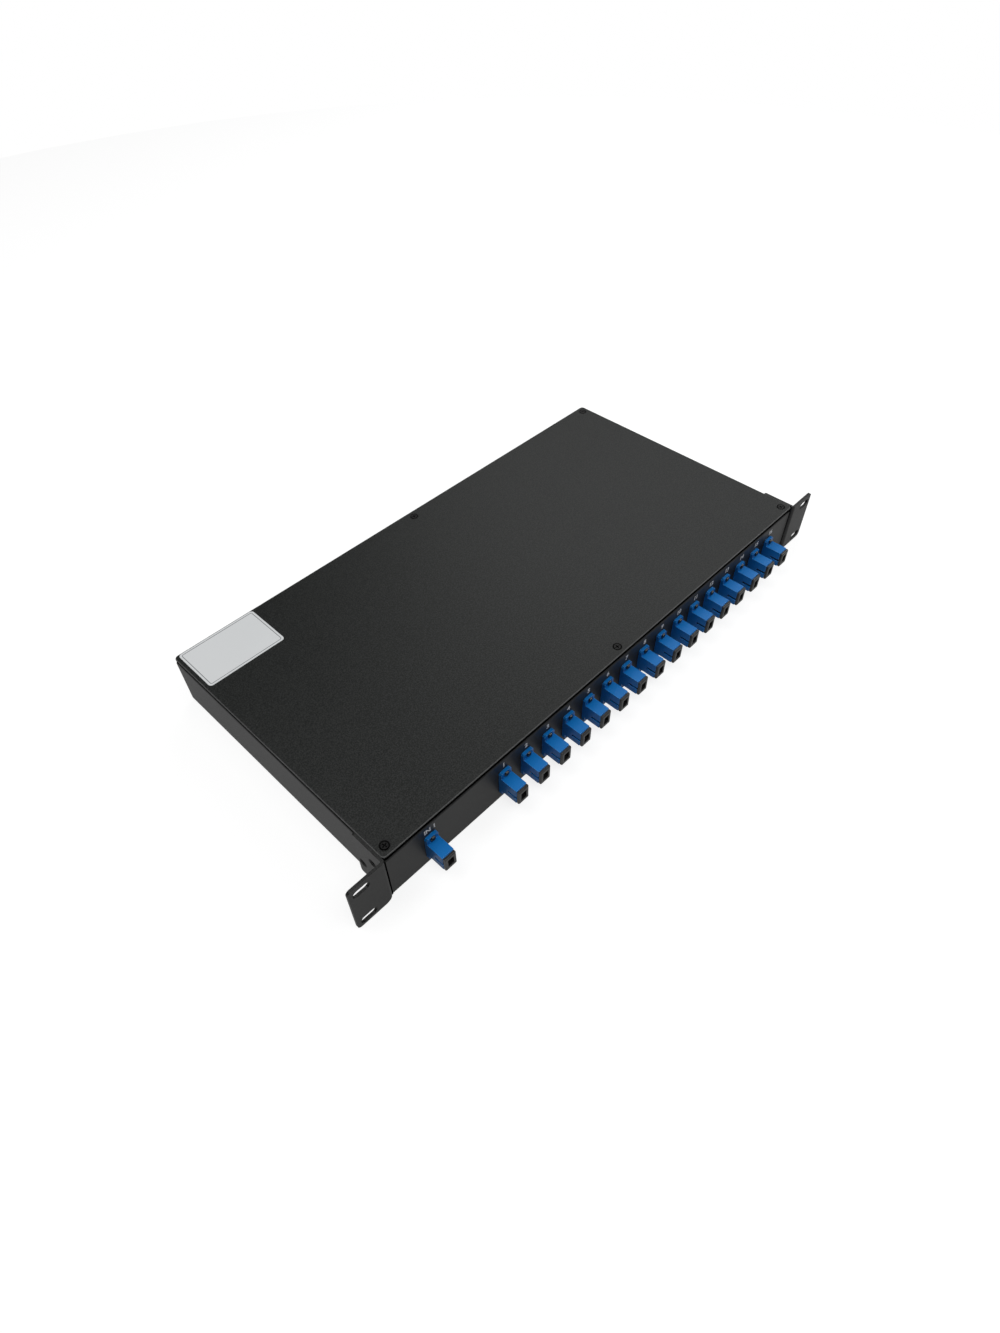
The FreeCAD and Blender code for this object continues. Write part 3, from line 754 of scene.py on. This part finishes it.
# %% Cover screws
COVER_TIP, COVER_SHANK_R, COVER_HEAD_R, DISC_R = -0.0069, 0.00145, 0.0036, 0.0024
UNDER_HEAD, RIM_R, LAND_R = -0.00215, COVER_HEAD_R - 0.00015, COVER_HEAD_R - 0.0004
cover_outline = [(0, COVER_TIP), (COVER_SHANK_R - 0.0003, COVER_TIP),
                 (COVER_SHANK_R, COVER_TIP + 0.0004), (COVER_SHANK_R, UNDER_HEAD),
                 (RIM_R, -0.00017), (RIM_R, -0.00005), (LAND_R, -0.00004), (LAND_R, -0.00032),
                 (DISC_R + 0.00005, -0.00108), (DISC_R, -0.00012), (DISC_R - 0.0001, -0.00003),
                 (0, -0.00003)]
cover_screw = screw("cover_screw", cover_outline, reach=0.0019, width=0.0008, depth=0.0012,
                    top=0)
low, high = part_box("cover_screws")
screw_xs = (low[0] + COVER_HEAD_R, 0, high[0] - COVER_HEAD_R)
screw_ys = (low[1] + COVER_HEAD_R, high[1] - COVER_HEAD_R)
cover_places = [Matrix.Translation((x, y, COVER_TOP))
                @ Matrix.Rotation(0.5 + 13 * x + 7 * y, 4, "Z")
                for x in screw_xs for y in screw_ys]
cover_heads = scattered(cover_screw, cover_places, "cover_screw_heads", screw_black)
stand_for(cover_heads, "cover_screw_heads", "box", "cover_screws")

# %% [markdown]
# ## Ear screws
#
# Two flat-headed screws hold the leg of each ear to the side of the box. They
# are sunk a little deeper than flush and dulled by the driver.

# %% Ear screws
EAR_TIP, EAR_SHANK_R, EAR_HEAD_R, EAR_SUNK = -0.0045, 0.00195, 0.0036, -0.0004
ear_outline = [(0, EAR_TIP), (EAR_SHANK_R - 0.0003, EAR_TIP), (EAR_SHANK_R, EAR_TIP + 0.0004),
               (EAR_SHANK_R, -0.00165), (EAR_HEAD_R - 0.0005, -0.0005),
               (EAR_HEAD_R - 0.0007, EAR_SUNK), (0, EAR_SUNK)]
ear_screw = screw("ear_screw", ear_outline, reach=0.0021, width=0.0008, depth=0.0014,
                  top=EAR_SUNK)
ear_low, ear_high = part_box("ear_screws")
LEG_X = ear_high[0]
ear_spots = [(ear_low[1] + EAR_HEAD_R, ear_high[2] - EAR_HEAD_R),
             (ear_high[1] - EAR_HEAD_R, ear_low[2] + EAR_HEAD_R)]
ear_places = [Matrix.Translation((side * LEG_X, y, z))
              @ Matrix.Rotation(side * math.pi / 2, 4, "Y")
              @ Matrix.Rotation(0.4 + 60 * z, 4, "Z") for side in (-1, 1) for y, z in ear_spots]
ear_heads = scattered(ear_screw, ear_places, "ear_screw_heads", screw_dull)
stand_for(ear_heads, "ear_screw_heads", "box", "ear_screws")

# %% [markdown]
# ## Adapters and dust caps
#
# All seventeen adapters are one moulding, and so are the caps, so each is
# rounded once, with the middle of its port at the origin. The copy is later
# moved inside its mesh to every port. Moving the mesh and not the object
# keeps each piece's own origin in the shared frame.

# %% One rounded adapter and one rounded cap
PORT_NAMES = ["in"] + ["%02d" % number for number in range(1, 17)]
FIRST = PORT_NAMES[1]


def centre(node_name):
    """Middle of a node's box."""
    low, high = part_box(node_name)
    return Vector([(a + b) / 2 for a, b in zip(low, high)])


PANEL_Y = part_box("base_tray")[0][1]
PORT = Vector((centre("adapter_" + FIRST).x, PANEL_Y, centre("adapter_" + FIRST).z))
MOULDED = {"adapter": (adapter_blue, 0.00028), "cap": (cap_black, 0.0003)}

shapes = {}
for kind, (material, rounding) in MOULDED.items():
    bm = welded(nodes[kind + "_" + FIRST])
    print(kind, "edges rounded:", soften(bm, rounding, sharpest=40))
    bmesh.ops.translate(bm, verts=bm.verts, vec=-PORT)
    shapes[kind] = finished(bm, kind + "_shape", material, smooth=35)

# %% [markdown]
# ## Adapter screws and sleeves
#
# In each flange sit two small pan-head screws. The engineering model gives
# the ferrule holder flat sides; here a round one goes over it, with the white
# sleeve that lines two fibres up inside it. Both are turned parts too, but
# with a bore, so their outlines don't touch the axis.

# %% Pan-head screw, sleeve and holder
PAN_R, PAN_H, THREAD_R, PAN_TIP = 0.0019, 0.0013, 0.001, -0.003
pan_outline = [(0, PAN_TIP), (THREAD_R, PAN_TIP), (THREAD_R, 0), (PAN_R, 0),
               (PAN_R, PAN_H * 0.55), (PAN_R * 0.86, PAN_H * 0.85), (PAN_R * 0.55, PAN_H),
               (0, PAN_H)]
pan_screw = screw("adapter_screw", pan_outline, reach=0.0012, width=0.0005, depth=0.0008,
                  top=PAN_H)
BORE_R, SLEEVE_R, HOLDER_R = 0.00128, 0.0017, 0.0024
sleeve_outline = [(BORE_R, -0.0035), (SLEEVE_R, -0.0035), (SLEEVE_R, 0.00006),
                  (BORE_R, 0.00006), (BORE_R, -0.0035)]
holder_outline = [(SLEEVE_R, -0.0059), (HOLDER_R, -0.0059), (HOLDER_R, -0.0002),
                  (0.0022, 0.00002), (SLEEVE_R, 0.00002)]

# %% [markdown]
# ## Every port
#
# The rounded shapes go to all seventeen ports. Each cap rides on its own
# body, so that it can be pulled out by itself; everything else at a port
# belongs to the box.

# %% Dress the ports
FLANGE_FRONT, SCREW_RISE = -0.0023, 0.009
BODY_FRONT, SOCKET_DEPTH, HOLDER_REACH = 0.0153, 0.0138, 0.006
HOLDER_FRONT = -(BODY_FRONT - SOCKET_DEPTH + HOLDER_REACH)
FACING = Matrix.Rotation(math.pi / 2, 4, "X")
for name in PORT_NAMES:
    spot = Vector((centre("adapter_" + name).x, PORT.y, PORT.z))
    for kind, body in (("adapter", "box"), ("cap", "dust_cap_" + name)):
        mesh = shapes[kind].copy()
        mesh.transform(Matrix.Translation(spot))
        node_name = kind + "_" + name
        stand_for(mesh, node_name + "_rounded", body, node_name)
    screws = [Matrix.Translation(spot + Vector((0, FLANGE_FRONT, rise))) @ FACING
              @ Matrix.Rotation(0.6 + spot.x * 40 + rise * 90, 4, "Z")
              for rise in (SCREW_RISE, -SCREW_RISE)]
    add(scattered(pan_screw, screws, "adapter_screws_" + name, screw_glossy),
        "adapter_screws_" + name)
    tip = Matrix.Translation(spot + Vector((0, HOLDER_FRONT, 0))) @ FACING
    for part, outline, material, slot in (
            ("sleeve_", sleeve_outline, sleeve_white, "label_silver"),
            ("holder_", holder_outline, adapter_blue, "adapter_plastic")):
        bm = turned(outline, steps=24)
        bm.transform(tip)
        add(finished(bm, part + name, material), part + name)
print("ports dressed:", len(PORT_NAMES))

# %% [markdown]
# ## Flat rings
#
# Two things on this box are rings that follow a rectangle: the printed line
# on the label and the black strip of painted shade under the cover. One
# function makes both. A plane is stretched to size, its corners are rounded,
# an inset draws the inner outline, the middle is thrown away and the ring is
# extruded upwards.

# %% A flat ring with rounded corners
CORNER_STEPS = 8


def flat_ring(name, material, low, high, inset, width, corner, bottom, top):
    """A ring that follows a rectangle, a little inside it, between two levels."""
    bm = bmesh.new()
    bmesh.ops.create_grid(bm, x_segments=1, y_segments=1, size=0.5)
    size = Vector((high[0] - low[0] - 2 * inset, high[1] - low[1] - 2 * inset, 1))
    bmesh.ops.scale(bm, vec=size, verts=bm.verts)
    bmesh.ops.bevel(bm, geom=bm.verts[:], offset=corner, offset_type="OFFSET",
                    segments=CORNER_STEPS, profile=0.5, affect="VERTICES", material=-1)
    bmesh.ops.inset_region(bm, faces=bm.faces[:], thickness=width, use_boundary=True,
                           use_even_offset=True)
    inner = max(bm.faces, key=lambda face: len(face.verts))
    bmesh.ops.delete(bm, geom=[inner], context="FACES")
    grown = bmesh.ops.extrude_face_region(bm, geom=bm.faces[:])
    raised_verts = [item for item in grown["geom"] if isinstance(item, bmesh.types.BMVert)]
    bmesh.ops.translate(bm, verts=raised_verts, vec=(0, 0, top - bottom))
    bmesh.ops.recalc_face_normals(bm, faces=bm.faces)
    middle = ((low[0] + high[0]) / 2, (low[1] + high[1]) / 2, bottom)
    bmesh.ops.translate(bm, verts=bm.verts, vec=middle)
    print("ring", name, "has", len(bm.faces), "faces")
    return finished(bm, name, material)


print("steps in a rounded corner:", CORNER_STEPS)

# %% [markdown]
# ## Label
#
# The label is bare film. Only its thin printed border is kept: a rounded
# line a little inside the edge. Ink lies on the film, so the ring reaches
# from just under its surface to a hundredth of a millimetre above it.

# %% Label border
LINE_INSET, LINE_WIDTH, LINE_CORNER = 0.0014, 0.0006, 0.0016
LINE_SUNK, LINE_PROUD = 0.00002, 0.00001
label_low, label_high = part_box("cover_label")
border = flat_ring("label_border", label_line, label_low, label_high, LINE_INSET, LINE_WIDTH,
                   LINE_CORNER, label_high[2] - LINE_SUNK, label_high[2] + LINE_PROUD)
add(border, "label_border")
print("label border in place")

# %% [markdown]
# ## Painted shade under the cover
#
# Between the cover and the fold of the tray runs a shadow gap. A black strip
# of painted shade fills it and reaches a little over the rounded fold, so the
# joint reads as one deep black line. The ring starts a little nearer the edge
# and reaches a little lower than the engineering strip, and stands for it.

# %% Ring of painted shade
SHADE_RING_INSET, SHADE_RING_DROP, SHADE_RING_WIDTH, SHADE_RING_CORNER = 0.0005, 0.0006, 0.003, 0.0015
cover_low, cover_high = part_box("top_cover")
seal_low, seal_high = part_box("cover_seal")
SHADE_RING_BOTTOM = seal_low[2] - SHADE_RING_DROP
# A black ring of painted shade in the joint under the cover's rim.
painted_shade = flat_ring("cover_foam", gap_shade_black, cover_low, cover_high, SHADE_RING_INSET, SHADE_RING_WIDTH,
                 SHADE_RING_CORNER, SHADE_RING_BOTTOM, seal_high[2])
stand_for(painted_shade, "cover_foam", "box", "cover_seal")

# %% [markdown]
# ## Painted shade beside the ears
#
# Each ear turns outwards beside the front panel and leaves a groove there. A
# narrow black strip of the same painted shade stands for the groove's shadow,
# from the foot of the box up to the ring under the cover.

# %% Strips in the grooves
GAP_WIDTH, GAP_DEPTH, GAP_OUT, GAP_PROUD = 0.0014, 0.0006, 0.00035, 0.00005
GAP_FOOT, GAP_ROUNDING = 0.0006, 0.0001
gap_height = SHADE_RING_BOTTOM - GAP_FOOT
# Each strip is painted shade: black where the groove's shadow falls.
for side, sign in (("left", -1), ("right", 1)):
    bm = bmesh.new()
    bmesh.ops.create_cube(bm, size=1)
    bmesh.ops.scale(bm, vec=(GAP_WIDTH, GAP_DEPTH, gap_height), verts=bm.verts)
    gap_middle = (sign * (cover_high[0] + GAP_OUT - GAP_WIDTH / 2),
                  cover_low[1] - GAP_PROUD + GAP_DEPTH / 2, GAP_FOOT + gap_height / 2)
    bmesh.ops.translate(bm, verts=bm.verts, vec=gap_middle)
    bmesh.ops.bevel(bm, geom=bm.edges[:], offset=GAP_ROUNDING, offset_type="OFFSET",
                    segments=2, profile=0.5, affect="EDGES", material=-1)
    add(finished(bm, "ear_foam_" + side, gap_shade_black), "ear_foam_" + side)
print("foam strips in place")

# %% [markdown]
# ## Printed port numbers
#
# The numbers are silk-screened in white ink above the ports. Ink has almost no
# thickness, but a solid film a few hundredths of a millimetre thick renders
# cleanly and can be exported. Blender's text object makes the shapes; turning
# it into a mesh lets its place be written into the mesh itself.

# %% Text helper
CAPITAL_SHARE = 0.73
INK_THICKNESS, INK_SPREAD, CURVE_STEPS = 0.00004, 0.0002, 4


def lettering(name, words, height, middle):
    """Upright words on the front panel, centred on the given point."""
    curve = bpy.data.curves.new(name, "FONT")
    curve.body = words
    curve.align_x = "CENTER"
    curve.align_y = "CENTER"
    curve.size = height / CAPITAL_SHARE
    curve.extrude = INK_THICKNESS / 2
    curve.offset = INK_SPREAD
    curve.resolution_u = CURVE_STEPS
    text = bpy.data.objects.new(name + "_text", curve)
    scene.collection.objects.link(text)
    depsgraph = bpy.context.evaluated_depsgraph_get()
    mesh = bpy.data.meshes.new_from_object(text.evaluated_get(depsgraph))
    bpy.data.objects.remove(text)
    low = [min(v.co[axis] for v in mesh.vertices) for axis in (0, 1)]
    high = [max(v.co[axis] for v in mesh.vertices) for axis in (0, 1)]
    own_middle = Vector(((low[0] + high[0]) / 2, (low[1] + high[1]) / 2, 0))
    mesh.transform(Matrix.Translation(middle) @ FACING @ Matrix.Translation(-own_middle))
    mesh.materials.clear()
    mesh.materials.append(white_ink)
    add(mesh, name)


print("ink thickness:", INK_THICKNESS)

# %% [markdown]
# ## A number over every port
#
# The printed row has its own start and pitch, a little different from the
# ports', because it is printed in a step of its own. The input port gets its
# words in the same size.

# %% The numbers over the ports
MARK_HEIGHT, MARK_LEVEL = 0.0038, 0.0343
FIRST_MARK, MARK_PITCH, INPUT_SHIFT = -0.1179, 0.02033, 0.0004
MARK_Y = PANEL_Y - INK_THICKNESS / 2

for index, name in enumerate(PORT_NAMES[1:]):
    lettering("number_" + name, str(index + 1), MARK_HEIGHT,
              Vector((FIRST_MARK + index * MARK_PITCH, MARK_Y, MARK_LEVEL)))
lettering("number_in", "IN 1", MARK_HEIGHT,
          Vector((centre("adapter_in").x + INPUT_SHIFT, MARK_Y, MARK_LEVEL)))
print("port marks:", len(PORT_NAMES))
